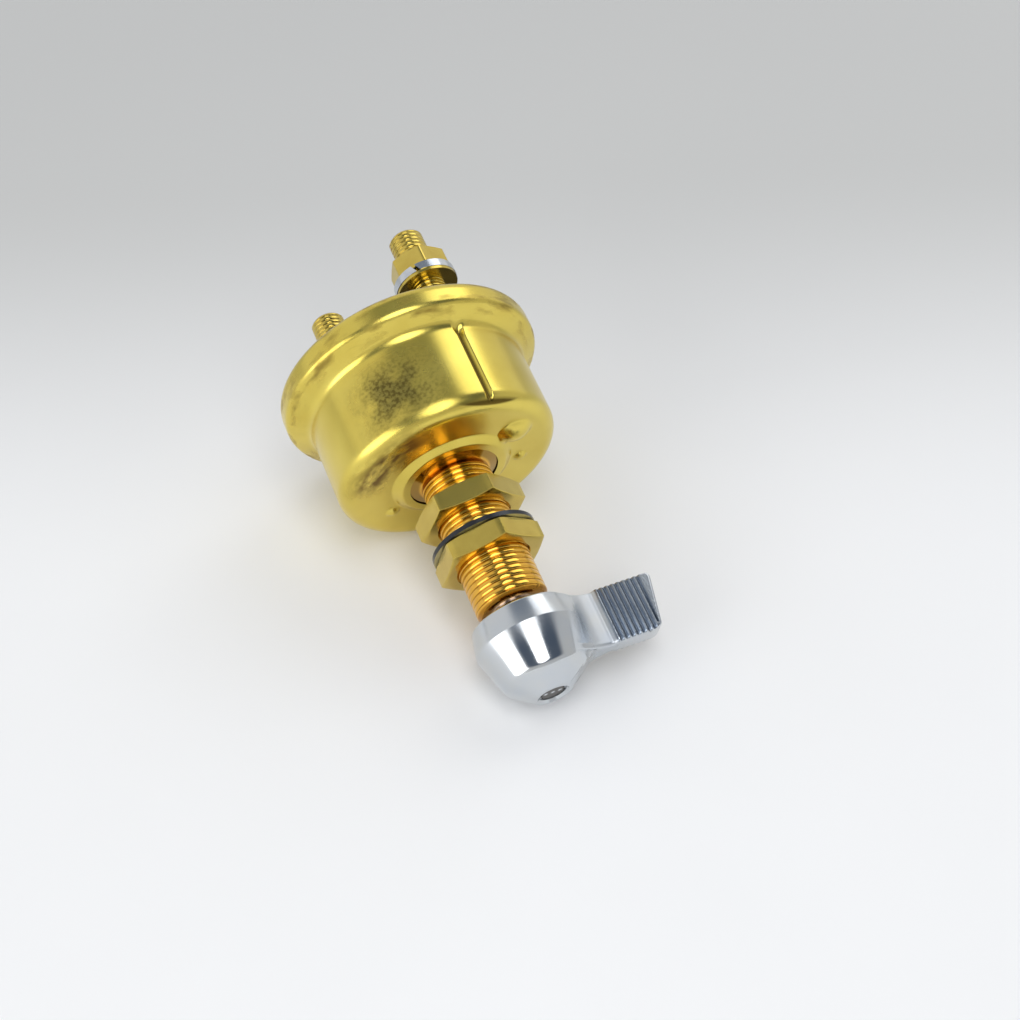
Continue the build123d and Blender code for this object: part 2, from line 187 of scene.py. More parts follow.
can_line = divided(
    rounded_line(
        [
            (collar_hole, collar_face, 0),
            (collar_edge, collar_face, collar_round),
            (collar_foot, housing_face, collar_round),
            (wall_radius, housing_face, edge_round),
            (wall_radius, wall_end, flare_round),
            (rim_radius, rim_front, rim_front_round),
            (rim_radius, rim_back, rim_back_round),
            (lip_radius, rim_back, 0),
        ]
    ),
    longest_stretch,
)
can_angles = []
for column in range(housing_columns):
    angle = 2 * pi * column / housing_columns
    finer = groove_columns if abs(angle - groove_angle) < groove_spread else 1
    can_angles += [angle + 2 * pi / housing_columns * part / finer for part in range(finer)]
can_columns = []
for angle in can_angles:
    outer = []
    for radius, place in can_line:
        radius -= pressed_in(radius, place, angle)
        if place < housing_face + face_tolerance:
            place -= pressed_out(radius, angle)
        outer.append(Vector((radius, place)))
    inner = []
    for index, here in enumerate(outer):
        along = outer[min(index + 1, len(outer) - 1)] - outer[max(index - 1, 0)]
        inner.append(here + Vector((-along.y, along.x)).normalized() * sheet)
    ring = outer + inner[::-inner_thinning]
    can_columns.append([(point.x * cos(angle), point.y, point.x * sin(angle)) for point in ring])
housing = skinned_piece("drawn_can", can_columns)
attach(housing, "switch_body")
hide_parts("housing")


def linear(hex_colour):
    """An sRGB hex colour as linear RGBA."""
    shares = [int(hex_colour[start : start + 2], 16) / 255 for start in (1, 3, 5)]
    light = [share / 12.92 if share <= 0.04045 else ((share + 0.055) / 1.055) ** 2.4 for share in shares]
    return (*light, 1.0)


def per_size(millimetres):
    """The texture scale at which one cell of a pattern is this large."""
    return 1 / (millimetres * MM)


def add_node(tree, kind, links=None, inputs=None, **settings):
    """Add one shader node with its settings, its input values and its links."""
    made = tree.nodes.new("ShaderNode" + kind)
    for name, value in settings.items():
        setattr(made, name, value)
    sockets = {socket.identifier: socket for socket in made.inputs}
    for name, value in (inputs or {}).items():
        sockets[name].default_value = value
    for name, source in (links or {}).items():
        if isinstance(source, bpy.types.Node):
            source = next(output for output in source.outputs if output.enabled)
        tree.links.new(source, sockets[name])
    return made


def new_material(name):
    """An empty material, its node tree and the coordinates of the piece that wears it."""
    material = bpy.data.materials.new(name)
    material.use_nodes = True
    material.node_tree.nodes.clear()
    place = add_node(material.node_tree, "TexCoord").outputs["Object"]
    return material, material.node_tree, place


def axis_distance(tree, place):
    """The distance of each point from the stem's axis."""
    level = add_node(tree, "VectorMath", {"Vector": place}, {"Vector_001": (1, 0, 1)}, operation="MULTIPLY")
    return add_node(tree, "VectorMath", {"Vector": level}, operation="LENGTH").outputs["Value"]


# Satin drawn brass: warm yellow with soft wide highlights, fine draw lines along the wall, an olive patch
# of speckled tarnish beside the groove, brown stains where it was rolled, handled and left oily, and painted
# shade in the groove.
# Real draw lines are a few hundredths of a millimetre apart; they are drawn coarser here, so that they show.
drawn_brass, tree, place = new_material("satin_drawn_brass")
draw_lines = add_node(
    tree,
    "TexNoise",
    {"Vector": add_node(tree, "Mapping", {"Vector": place}, {"Scale": (1.0, 0.06, 1.0)})},
    {"Scale": per_size(0.7), "Detail": 3.0, "Roughness": 0.6},
)
mottle = add_node(tree, "TexNoise", {"Vector": place}, {"Scale": per_size(11.0), "Detail": 4.0})
yellow = add_node(
    tree,
    "Mix",
    {"Factor_Float": mottle},
    {"A_Color": linear("#EBD86E"), "B_Color": linear("#D2B950")},
    data_type="RGBA",
)
from_axis = axis_distance(tree, place)
part_place = add_node(tree, "SeparateXYZ", {"Vector": place}).outputs
heading = add_node(
    tree, "Math", {"Value": part_place["Z"], "Value_001": part_place["X"]}, operation="ARCTAN2"
)


def band(tree, value, low, high, soft):
    """A mask that is 1 between two limits of a value and fades at each of them."""
    rising = add_node(tree, "MapRange", {"Value": value}, {"From Min": low - soft, "From Max": low + soft})
    falling = add_node(tree, "MapRange", {"Value": value}, {"From Min": high + soft, "From Max": high - soft})
    return add_node(tree, "Math", {"Value": rising, "Value_001": falling}, operation="MULTIPLY")


def product(tree, first, second):
    """Two masks multiplied."""
    return add_node(tree, "Math", {"Value": first, "Value_001": second}, operation="MULTIPLY")


# Tarnish clouds are ragged, and stains are drawn out three times longer round the axis than along it.
cloud = add_node(tree, "TexNoise", {"Vector": place}, {"Scale": per_size(6.0), "Detail": 3.0})
drawn_out = rim_radius / 3
streak_place = add_node(
    tree,
    "CombineXYZ",
    {
        "X": add_node(tree, "Math", {"Value": heading}, {"Value_001": drawn_out}, operation="MULTIPLY"),
        "Y": from_axis,
        "Z": part_place["Y"],
    },
)
streaks = add_node(tree, "TexNoise", {"Vector": streak_place}, {"Scale": per_size(2.6), "Detail": 5.0})
patch = product(
    tree,
    band(tree, heading, radians(97.0), radians(132.0), radians(10.0)),
    band(tree, part_place["Y"], housing_face + 5.0 * MM, wall_end - 6.0 * MM, 4.0 * MM),
)
tarnish = product(
    tree, patch, add_node(tree, "MapRange", {"Value": cloud}, {"From Min": 0.26, "From Max": 0.56})
)
olive = add_node(
    tree,
    "Mix",
    {"Factor_Float": tarnish, "A_Color": yellow},
    {"B_Color": linear("#918545")},
    data_type="RGBA",
)
speck_noise = add_node(tree, "TexNoise", {"Vector": place}, {"Scale": per_size(0.9), "Detail": 2.0})
speck_form = add_node(
    tree, "MapRange", {"Value": speck_noise}, {"From Min": 0.42, "From Max": 0.62, "To Max": 0.7}
)
speckled = add_node(
    tree,
    "Mix",
    {"Factor_Float": product(tree, speck_form, tarnish), "A_Color": olive},
    {"B_Color": linear("#4E401E")},
    data_type="RGBA",
)
crescent = product(
    tree,
    band(tree, heading, radians(112.0), radians(172.0), radians(8.0)),
    band(tree, from_axis, 20.0 * MM, 28.0 * MM, 2.0 * MM),
)
face_stain = product(
    tree, crescent, add_node(tree, "MapRange", {"Value": streaks}, {"From Min": 0.36, "From Max": 0.58})
)
on_rim = add_node(
    tree,
    "MapRange",
    {"Value": from_axis},
    {"From Min": wall_radius + 0.8 * MM, "From Max": rim_radius - 1.5 * MM},
)
rim_stain = product(
    tree,
    on_rim,
    add_node(tree, "MapRange", {"Value": streaks}, {"From Min": 0.50, "From Max": 0.72, "To Max": 0.7}),
)
stains = add_node(tree, "Math", {"Value": face_stain, "Value_001": rim_stain}, operation="MAXIMUM")
stained = add_node(
    tree,
    "Mix",
    {"Factor_Float": stains, "A_Color": speckled},
    {"B_Color": linear("#7E6430")},
    data_type="RGBA",
)
# Painted shade: the bottom of the stop groove is darkened to a dark brown, as shade in the hollow.
groove_side = add_node(
    tree,
    "VectorMath",
    {"Vector": place},
    {"Vector_001": (cos(groove_angle), 0, sin(groove_angle))},
    operation="DOT_PRODUCT",
).outputs["Value"]
groove_shade_mask = product(
    tree,
    band(tree, groove_side, wall_radius - 2.0 * MM, wall_radius, 0.2 * MM),
    add_node(
        tree,
        "MapRange",
        {"Value": from_axis},
        {"From Min": wall_radius - 0.5 * MM, "From Max": wall_radius - 1.1 * MM, "To Max": 0.9},
    ),
)
groove_shaded_brass = add_node(
    tree,
    "Mix",
    {"Factor_Float": groove_shade_mask, "A_Color": stained},
    {"B_Color": linear("#4E3A14")},
    data_type="RGBA",
)
dulled = add_node(tree, "Math", {"Value": tarnish, "Value_001": stains}, operation="MAXIMUM")
satin = add_node(tree, "MapRange", {"Value": dulled}, {"To Min": 0.25, "To Max": 0.44})
relief = add_node(tree, "Bump", {"Height": draw_lines}, {"Strength": 0.25, "Distance": 0.02 * MM})
surface = add_node(
    tree,
    "BsdfPrincipled",
    {"Base Color": groove_shaded_brass, "Roughness": satin, "Normal": relief},
    {"Metallic": 1.0},
)
add_node(tree, "OutputMaterial", {"Surface": surface})
housing.data.materials.append(drawn_brass)

# Threaded stem: a brass bushing turned from bar, with a 3/4 inch thread of 16 turns to the inch.
# Its flange lies inside the can, and the shaft runs in its bore.
stem_low, stem_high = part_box("threaded_stem")
stem_radius = 19.05 / 2 * MM
stem_end = stem_low.y
stem_chamfer = 0.9 * MM
flange_radius = stem_high.x
flange_back = stem_high.y
flange_front = flange_back - 3.0 * MM
spigot_radius = 12.2 * MM
spigot_end = collar_face + 0.7 * MM
spigot_chamfer = 0.4 * MM
foot_radius = stem_radius + 0.9 * MM
foot_place = spigot_end - 0.8 * MM
thread_end = spigot_end - 1.5 * MM
stem_bore = 4.8 * MM
bore_chamfer = 0.4 * MM
inch = 25.4 * MM
stem_pitch = inch / 16
thread_columns = 96
thread_depth_share = 0.17
thread_sharp_angle = 50.0
# One turn of a truncated thread: share of the pitch, and height from root to crest
thread_form = (
    (0.00, 1.00),
    (0.34, 1.00),
    (0.37, 0.90),
    (0.44, 0.15),
    (0.47, 0.00),
    (0.53, 0.00),
    (0.56, 0.15),
    (0.63, 0.90),
    (0.66, 1.00),
)


def thread_height(phase):
    """Height of the thread, from root to crest, at this share of its pitch."""
    phase %= 1.0
    turned = thread_form + ((1.0, 1.0),)
    for (start, low), (end, high) in zip(turned, turned[1:]):
        if phase <= end:
            return low + (high - low) * (phase - start) / (end - start)


def threaded_columns(radius, pitch, start, end, chamfer, head, foot):
    """Columns of a threaded rod: head and foot are plain (radius, place) rows before and after the thread."""
    depth = thread_depth_share * pitch
    turns = int((end - start) / pitch) + 3
    columns = []
    for column in range(thread_columns):
        turned = column / thread_columns
        rows = []
        for turn in range(turns):
            for phase, height in thread_form:
                place = start + pitch * (turn + phase + turned - 1)
                place = min(end, max(start, place))
                level = thread_height((place - start) / pitch - turned)
                crest = min(radius, radius - chamfer + min(place - start, end - place))
                rows.append((min(crest, radius - depth * (1 - level)), place))
        angle = 2 * pi * turned
        line = head + rows + foot
        columns.append([Vector((across * cos(angle), place, across * sin(angle))) for across, place in line])
    return columns


def threaded_piece(name, radius, pitch, start, end, chamfer, head, foot):
    """A threaded rod; its seam joins each row to the one that has climbed a full turn."""
    columns = threaded_columns(radius, pitch, start, end, chamfer, head, foot)
    count, rows = len(columns), len(columns[0])
    mesh = bmesh.new()
    corners = [[mesh.verts.new(point) for point in column] for column in columns]
    first, last = len(head), rows - len(foot) - 1
    for index in range(count):
        left, right = corners[index], corners[(index + 1) % count]
        climb = len(thread_form) if index + 1 == count else 0
        for row in range(rows - 1):
            beside = []
            for step in (row, row + 1):
                threaded = first <= step <= last
                beside.append(right[min(last, step + climb)] if threaded else right[step])
            edge = [left[row], beside[0], beside[1], left[row + 1]]
            if len(set(edge)) == 4:
                mesh.faces.new(edge)
            elif len(set(edge)) == 3:
                mesh.faces.new(list(dict.fromkeys(edge)))
    return finished_piece(name, mesh, thread_sharp_angle)


stem = threaded_piece(
    "threaded_bushing",
    stem_radius,
    stem_pitch,
    stem_end,
    thread_end,
    stem_chamfer,
    [(stem_bore, flange_back), (stem_bore, stem_end + bore_chamfer), (stem_bore + bore_chamfer, stem_end)],
    [
        (foot_radius, foot_place),
        (spigot_radius, spigot_end - spigot_chamfer),
        (spigot_radius, flange_front),
        (flange_radius, flange_front),
        (flange_radius, flange_back),
        (stem_bore, flange_back),
    ],
)
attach(stem, "switch_body")
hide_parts("threaded_stem")

# Bright turned brass: an orange gold with sharp reflections on the crests, and painted shade that makes
# the thread roots a darker brown and the foot, spigot and flange off the thread a dull tan.
turned_brass, tree, place = new_material("bright_turned_brass")
from_axis = axis_distance(tree, place)
crests = add_node(
    tree,
    "MapRange",
    {"Value": from_axis},
    {"From Min": stem_radius - 0.26 * MM, "From Max": stem_radius - 0.06 * MM},
)
oil = add_node(tree, "TexNoise", {"Vector": place}, {"Scale": per_size(4.0), "Detail": 3.0})
gold = add_node(
    tree,
    "Mix",
    {"Factor_Float": oil},
    {"A_Color": linear("#F3C458"), "B_Color": linear("#E2A63C")},
    data_type="RGBA",
)
# Painted shade: the thread roots are a darker brown than the crests.
root_shaded = add_node(
    tree,
    "Mix",
    {"Factor_Float": crests, "B_Color": gold},
    {"A_Color": linear("#B57E2C")},
    data_type="RGBA",
)
# Painted shade: the foot, spigot and flange off the thread, in the collar's gap and inside the can, are a
# dull tan.
off_thread_shade_mask = add_node(
    tree,
    "MapRange",
    {"Value": from_axis},
    {"From Min": stem_radius + 0.1 * MM, "From Max": stem_radius + 0.7 * MM},
)
off_thread_shaded = add_node(
    tree,
    "Mix",
    {"Factor_Float": off_thread_shade_mask, "A_Color": root_shaded},
    {"B_Color": linear("#A88642")},
    data_type="RGBA",
)
polish = add_node(tree, "MapRange", {"Value": oil}, {"To Min": 0.09, "To Max": 0.18})
surface = add_node(
    tree,
    "BsdfPrincipled",
    {"Base Color": off_thread_shaded, "Roughness": polish},
    {"Metallic": 1.0},
)
add_node(tree, "OutputMaterial", {"Surface": surface})
stem.data.materials.append(turned_brass)

# Hex nuts: two 1 inch nuts clamp the panel on the stem, and thin and full 9/16 inch nuts hold the studs.
# They are cut from drawn hexagon brass, bevelled on both faces and countersunk at the bore.
nut_flat_points = 7
nut_corner_round = 0.35 * MM
nut_bevel = tan(radians(16.0))
nut_edge = 0.14 * MM
countersink = 0.7 * MM
washer_face_share = 0.985
washer_rim_inside = 0.3 * MM
washer_rim_outside = 0.1 * MM


def hexagon_line(across_flats, turn):
    """Points round a hexagon with softly rounded corners, as (distance, angle) from its centre."""
    line = []
    corner = across_flats / 2 / cos(pi / 6)
    pull = nut_corner_round * (1 / cos(pi / 6) - 1)
    for side in range(6):
        heading = turn + side * pi / 3
        for step in range(nut_flat_points):
            share = sin(pi / 2 * (2 * (step + 0.5) / nut_flat_points - 1))
            slant = share * (corner - 0.4 * nut_corner_round) * sin(pi / 6)
            line.append((hypot(across_flats / 2, slant), heading + atan2(slant, across_flats / 2)))
        line.append((corner - pull, heading + pi / 6))
    return line


def hex_nut(name, node, across_flats, bore, turn):
    """A bevelled hex nut in the place of its CAD node, with its own axis as its origin."""
    low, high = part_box(node)
    centre = (low + high) / 2
    half = (high.y - low.y) / 2
    washer_face = across_flats / 2 * washer_face_share
    columns = []
    for reach, angle in hexagon_line(across_flats, turn):
        drop = max(0.0, (reach - washer_face) * nut_bevel)
        front = [
            (bore, -half + countersink),
            (bore + countersink, -half),
            (washer_face - washer_rim_inside, -half),
            (min(washer_face + washer_rim_outside, reach - 2 * nut_edge), -half + nut_edge * 0.15),
            (reach - nut_edge, -half + drop),
            (reach, -half + drop + nut_edge),
        ]
        line = front + [(across, -place) for across, place in front[::-1]]
        columns.append([(across * cos(angle), place, across * sin(angle)) for across, place in line])
    nut = skinned_piece(name, columns, sharp_angle=24.0)
    nut.location = centre
    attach(nut, "switch_body")
    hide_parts(node)
    return nut


stem_nut_flats = 25.4 * MM
stem_nut_bore = stem_radius - 0.1 * MM
stud_nut_flats = 14.3 * MM
stud_radius = 9.525 / 2 * MM
stud_nut_bore = stud_radius - 0.05 * MM
flat_half = radians(30.0)
panel_nuts = [
    hex_nut(name, node, stem_nut_flats, stem_nut_bore, radians(turn) + flat_half)
    for name, node, turn in (
        ("rear_panel_nut", "rear_jam_nut", 14.0),
        ("front_panel_nut", "front_mounting_nut", 22.0),
    )
]
stud_nuts = [
    hex_nut(f"brass_{nut}_{side}", f"{nut}_{side}", stud_nut_flats, stud_nut_bore, radians(30.0) + flat_half)
    for nut in ("stud_fixing_nut", "terminal_nut")
    for side in "ab"
]

# Satin brass bar: a plain greenish tan yellow, with faint lines of the drawn bar along the flats.
# The lines of real bar are much finer and are drawn coarser here, so that they show.
bar_brass, tree, place = new_material("satin_bar_brass")
bar_lines = add_node(
    tree,
    "TexNoise",
    {"Vector": add_node(tree, "Mapping", {"Vector": place}, {"Scale": (1.0, 0.08, 1.0)})},
    {"Scale": per_size(0.5), "Detail": 2.0},
)
handling = add_node(tree, "TexNoise", {"Vector": place}, {"Scale": per_size(5.0), "Detail": 4.0})
tan_yellow = add_node(
    tree,
    "Mix",
    {"Factor_Float": handling},
    {"A_Color": linear("#DEC766"), "B_Color": linear("#C2A74E")},
    data_type="RGBA",
)
sheen = add_node(tree, "MapRange", {"Value": handling}, {"To Min": 0.13, "To Max": 0.24})
lines = add_node(tree, "Bump", {"Height": bar_lines}, {"Strength": 0.2, "Distance": 0.02 * MM})
surface = add_node(
    tree,
    "BsdfPrincipled",
    {"Base Color": tan_yellow, "Roughness": sheen, "Normal": lines},
    {"Metallic": 1.0},
)
add_node(tree, "OutputMaterial", {"Surface": surface})
for nut in panel_nuts + stud_nuts:
    nut.data.materials.append(bar_brass)

# Terminal studs: 3/8 inch brass screws of 20 turns to the inch, their round heads inside the can.
# Each clamps a cable lug between its thin fixing nut and the washers under its terminal nut.
stud_pitch = inch / 20
stud_chamfer = 0.8 * MM
stud_head_radius = 7.5 * MM
stud_head_depth = 4.0 * MM
stud_tip_inset = 1.4 * MM
for side in "ab":
    node = f"terminal_stud_{side}"
    low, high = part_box(node)
    axis = (low + high) / 2
    head_back = low.y + stud_head_depth - axis.y
    tip = high.y - axis.y
    stud = threaded_piece(
        f"terminal_screw_{side}",
        stud_radius,
        stud_pitch,
        head_back,
        tip,
        stud_chamfer,
        [(0.0, low.y - axis.y), (stud_head_radius, low.y - axis.y), (stud_head_radius, head_back)],
        [(stud_radius - stud_tip_inset, tip), (0.0, tip)],
    )
    stud.location = axis
    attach(stud, "switch_body")
    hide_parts(node)
    stud.data.materials.append(bar_brass)

# Washers: each terminal nut has a split spring washer of zinc-plated steel on a flat brass one, the thrust
# washer inside the can is zinc-plated too, and the toothed washer behind the front panel nut is steel with a
# painted dark reflection on its edges.
# Bright zinc-plated steel: a pale cold silver with clear but slightly clouded reflections.
zinc_plate, tree, place = new_material("bright_zinc_plated_steel")
plate_cloud = add_node(tree, "TexNoise", {"Vector": place}, {"Scale": per_size(3.0), "Detail": 4.0})
silver = add_node(
    tree,
    "Mix",
    {"Factor_Float": plate_cloud},
    {"A_Color": linear("#E3E6EA"), "B_Color": linear("#B4BAC2")},
    data_type="RGBA",
)
plate_gloss = add_node(tree, "MapRange", {"Value": plate_cloud}, {"To Min": 0.14, "To Max": 0.30})
surface = add_node(
    tree,
    "BsdfPrincipled",
    {"Base Color": silver, "Roughness": plate_gloss},
    {"Metallic": 1.0},
)
add_node(tree, "OutputMaterial", {"Surface": surface})


def dress(node, material):
    """Give a CAD node, shown as it is, this material in every slot."""
    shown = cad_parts[node]
    for held in shown.material_slots:
        held.material = material


for node in ("lock_washer_a", "lock_washer_b", "thrust_washer"):
    dress(node, zinc_plate)
for node in ("flat_washer_a", "flat_washer_b"):
    dress(node, bar_brass)

# Spring steel, the toothed washer's: silver faces, and edges painted almost black as a dark reflection.
dark_edged_steel, tree, place = new_material("steel_with_painted_dark_edges")
scuff = add_node(tree, "TexNoise", {"Vector": place}, {"Scale": per_size(1.2), "Detail": 3.0})
facing = add_node(tree, "SeparateXYZ", {"Vector": add_node(tree, "NewGeometry").outputs["Normal"]})
face_on = add_node(tree, "Math", {"Value": facing.outputs["Y"]}, operation="ABSOLUTE")
silver_faces = add_node(tree, "MapRange", {"Value": face_on}, {"From Min": 0.6, "From Max": 0.9})
# Painted reflection: the edges, facing away from the axis, are almost black; the faces along the axis stay
# silver.
painted_dark_edge = add_node(
    tree,
    "Mix",
    {"Factor_Float": silver_faces},
    {"A_Color": linear("#404245"), "B_Color": linear("#C4C8CE")},
    data_type="RGBA",
)
scuffed = add_node(tree, "MapRange", {"Value": scuff}, {"To Min": 0.22, "To Max": 0.40})
surface = add_node(
    tree,
    "BsdfPrincipled",
    {"Base Color": painted_dark_edge, "Roughness": scuffed},
    {"Metallic": 1.0},
)
add_node(tree, "OutputMaterial", {"Surface": surface})
dress("mounting_lock_washer", dark_edged_steel)

# Lever: a zinc die-casting pressed on the shaft's serrated end, with a barrel hub, a pointed nose, a waisted
# neck that flows out of the hub and a ribbed thumb paddle. It is barrel-polished and bright-plated.
lever_low, lever_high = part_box("lever")
hub_back = lever_high.y
nose_end = lever_low.y
hub_belly = hub_back - 6.4 * MM
hub_front = nose_end + 4.7 * MM
hub_back_radius = 12.8 * MM
hub_back_rim = 1.5 * MM
hub_belly_radius = lever_high.z
hub_front_radius = 10.8 * MM
nose_rim_radius = 5.1 * MM
recess_radius = 3.7 * MM
recess_edge = 0.6 * MM
recess_floor = nose_end + 1.2 * MM
serration_radius = 3.3 * MM
serrated_start = recess_floor + 7.9 * MM
hub_bore = 4.85 * MM
hub_skin = rounded_line(
    [
        (hub_back_radius - hub_back_rim, hub_back, 0),
        (hub_back_radius, hub_back, 0.7 * MM),
        (hub_belly_radius, hub_belly, 0),
        (hub_front_radius, hub_front, 2.0 * MM),
        (nose_rim_radius, nose_end, 0.8 * MM),
        (recess_radius + recess_edge, nose_end, 0),
    ]
)
hub_inside = [
    (recess_radius, nose_end + recess_edge),
    (recess_radius, recess_floor),
    (serration_radius, recess_floor),
    (serration_radius, serrated_start),
    (hub_bore, serrated_start),
    (hub_bore, hub_back),
]
arm_back = hub_back - 0.3 * MM
arm_front = arm_back - 15.2 * MM
arm_reach = lever_high.x
arm_end_slant = tan(radians(12.0))
arm_end_round = 1.6 * MM
back_edge = 0.3 * MM
front_edge = 1.0 * MM
neck_leaves_hub = radians(46.0)
neck_root = Vector((6.0, 8.8)) * MM
neck_end = Vector((18.9, 2.0)) * MM
neck_radius = 40.0 * MM
blend_end = 16.0 * MM
paddle_start = Vector((20.4, 3.4)) * MM
front_fillet = 3.0 * MM
rib_count = 8
rib_pitch = 1.54 * MM
rib_depth = 0.6 * MM
first_rib = 21.1 * MM
end_edge = 0.6 * MM
hairline = 0.06 * MM
rib_flat = 0.05 * MM
neck_stride = 0.75 * MM
# Handles of the arm's curves: off the hub, into the neck, and into and out of the step up to the paddle
hub_handle = 4.5 * MM
neck_handle = 2.5 * MM
step_foot_handles = (0.45 * MM, 0.3 * MM)
step_top_handle = 0.2 * MM
step_foot_gap = 0.5 * MM
step_top_gap = 0.4 * MM
step_foot_points = 6
step_top_points = 5
neck_steps = 14
hub_steps = 96
edge_steps = 6
fillet_steps = 8


def curve(start, leaving, arriving, end, steps):
    """Points after the first of a curve between two points with these handles."""
    points = []
    for step in range(1, steps + 1):
        share = step / steps
        rest = 1 - share
        points.append(
            start * rest**3
            + (start + leaving) * 3 * rest**2 * share
            + (end - arriving) * 3 * rest * share**2
            + end * share**3
        )
    return points


neck_chord = neck_end - neck_root
neck_rise = sqrt(neck_radius**2 - neck_chord.length_squared / 4)
neck_centre = (neck_root + neck_end) / 2 + Vector((-neck_chord.y, neck_chord.x)).normalized() * neck_rise
step_heading = (paddle_start - neck_end).normalized()


def neck_point(reach):
    """The point of the neck's hollow arc at this distance from the axis."""
    return Vector((reach, neck_centre.y - sqrt(neck_radius**2 - (reach - neck_centre.x) ** 2)))


def arm_line(radius, place, inset):
    """The upper half of the arm's outline across this place, from where it leaves the hub to its end."""
    down = Vector((0, inset))
    level = Vector((1, 0))
    start = Vector((cos(neck_leaves_hub), sin(neck_leaves_hub))) * radius
    off_hub = Vector((sin(neck_leaves_hub), -cos(neck_leaves_hub)))
    joint = neck_point(blend_end)
    down_neck = (neck_point(blend_end + 0.1 * MM) - joint).normalized()
    line = [start]
    line += curve(start, off_hub * hub_handle, down_neck * neck_handle, joint - down, neck_steps)
    line += [neck_point(blend_end + step * neck_stride) - down for step in (1, 2, 3)]
    step_foot = neck_end + step_heading * step_foot_gap - down
    leaving, arriving = step_foot_handles
    line += curve(line[-1], level * leaving, step_heading * arriving, step_foot, step_foot_points)
    step_top = paddle_start - step_heading * step_top_gap - down
    line.append(step_top)
    top = paddle_start.y - inset
    paddle_edge = Vector((paddle_start.x, top))
    leaving, arriving = step_heading * step_top_handle, level * step_top_handle
    line += curve(step_top, leaving, arriving, paddle_edge, step_top_points)
    corner = max(0, min(arm_end_round, arm_back - place, place - arm_front))
    reach = arm_reach - (arm_back - place) * arm_end_slant - inset
    reach -= arm_end_round - sqrt(arm_end_round**2 - (arm_end_round - corner) ** 2)
    brink = reach - end_edge - hairline
    rib_form = ((-rib_depth, 0), (-rib_flat, rib_depth), (rib_flat, rib_depth), (rib_depth, 0))
    for rib in range(rib_count):
        for along, depth in rib_form:
            along += first_rib + rib * rib_pitch
            line.append(Vector((along, top - depth)) if along < brink else Vector((brink, top)))
    line.append(Vector((brink, top)))
    line.append(Vector((reach - end_edge, top)))
    drop = Vector((0, -1))
    line += curve(line[-1], level * end_edge / 2, drop * end_edge / 2, Vector((reach, top - end_edge)), 7)
    line.append(Vector((reach, top - end_edge - hairline)))
    line.append(Vector((reach, 0)))
    return line


arm_points = len(arm_line(hub_belly_radius, hub_belly, 0.0))


def lever_ring(radius, place, inset=None, limit=None):
    """A closed ring of the lever at this place: the arm's outline, up to a limit, and the hub round to it."""
    if inset is None:
        turns = [neck_leaves_hub * (1 - index / (arm_points - 1)) for index in range(arm_points)]
        upper = [Vector((cos(turn), sin(turn))) * radius for turn in turns]
    else:
        upper = arm_line(radius, place, inset)
        if limit is not None:
            kept = [point for point in upper if point.x <= limit]
            level = kept[-1].y
            spare = arm_points - len(kept)
            upper = kept + [Vector((limit, level * (1 - (step + 1) / spare))) for step in range(spare)]
    outline = upper + [Vector((point.x, -point.y)) for point in upper[-2::-1]]
    sweep = 2 * pi - 2 * neck_leaves_hub
    for step in range(1, hub_steps):
        turn = -neck_leaves_hub - sweep * step / hub_steps
        outline.append(Vector((cos(turn), sin(turn))) * radius)
    return [(point.x, place, point.y) for point in outline]


def hub_radius(place):
    """Radius of the hub's outside at this place on its axis."""
    for start, end in zip(hub_skin, hub_skin[1:]):
        if end.y <= place <= start.y and start.y > end.y:
            return start.x + (end.x - start.x) * (start.y - place) / (start.y - end.y)


edge_turns = [pi / 2 * step / edge_steps for step in range(edge_steps + 1)]
arm_rows = [(arm_back, back_edge + hairline, None)]
for turn in edge_turns:
    arm_rows.append((arm_back - back_edge * (1 - cos(turn)), back_edge * (1 - sin(turn)), None))
for inwards in (back_edge + hairline, 0.7 * MM, 1.1 * MM, arm_end_round):
    arm_rows.append((arm_back - inwards, 0.0, None))
arm_rows.append((hub_belly, 0.0, None))
for inwards in (arm_end_round, 1.3 * MM, front_edge + hairline):
    arm_rows.append((arm_front + inwards, 0.0, None))
for turn in edge_turns:
    arm_rows.append((arm_front + front_edge * (1 - sin(turn)), front_edge * (1 - cos(turn)), None))
arm_rows.append((arm_front, front_edge + hairline, None))
for step in range(fillet_steps + 1):
    ahead = front_fillet * (1 - cos(pi / 2 * step / fillet_steps))
    place = arm_front - ahead - face_tolerance
    fillet_reach = front_fillet - sqrt(front_fillet**2 - (front_fillet - ahead) ** 2)
    arm_rows.append((place, front_edge + hairline, hub_radius(place) + fillet_reach))
rings = [lever_ring(point.x, point.y) for point in hub_skin if point.y > arm_back]
rings.append(lever_ring(hub_radius(arm_back), arm_back))
arm_last = 2 * (arm_points - 1)
flats = {len(rings) - 1: (0, arm_last)}
for row, (place, inset, limit) in enumerate(arm_rows):
    if limit is None and row + 1 < len(arm_rows) and arm_rows[row + 1][2] is not None:
        web_limit = arm_rows[row + 1][2]
        inside = [point for point in arm_line(hub_radius(place), place, inset) if point.x <= web_limit]
        web_start = len(inside) - 1
        flats[len(rings)] = (web_start, arm_last - web_start)
    rings.append(lever_ring(hub_radius(place), place, inset, limit))
rings += [lever_ring(point.x, point.y) for point in hub_skin if point.y < arm_rows[-1][0]]
rings += [lever_ring(radius, place) for radius, place in hub_inside]
lever = skinned_piece("lever_casting", rings, sharp_angle=20.0, flats=flats)
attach(lever, "lever_and_rotor")
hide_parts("lever")

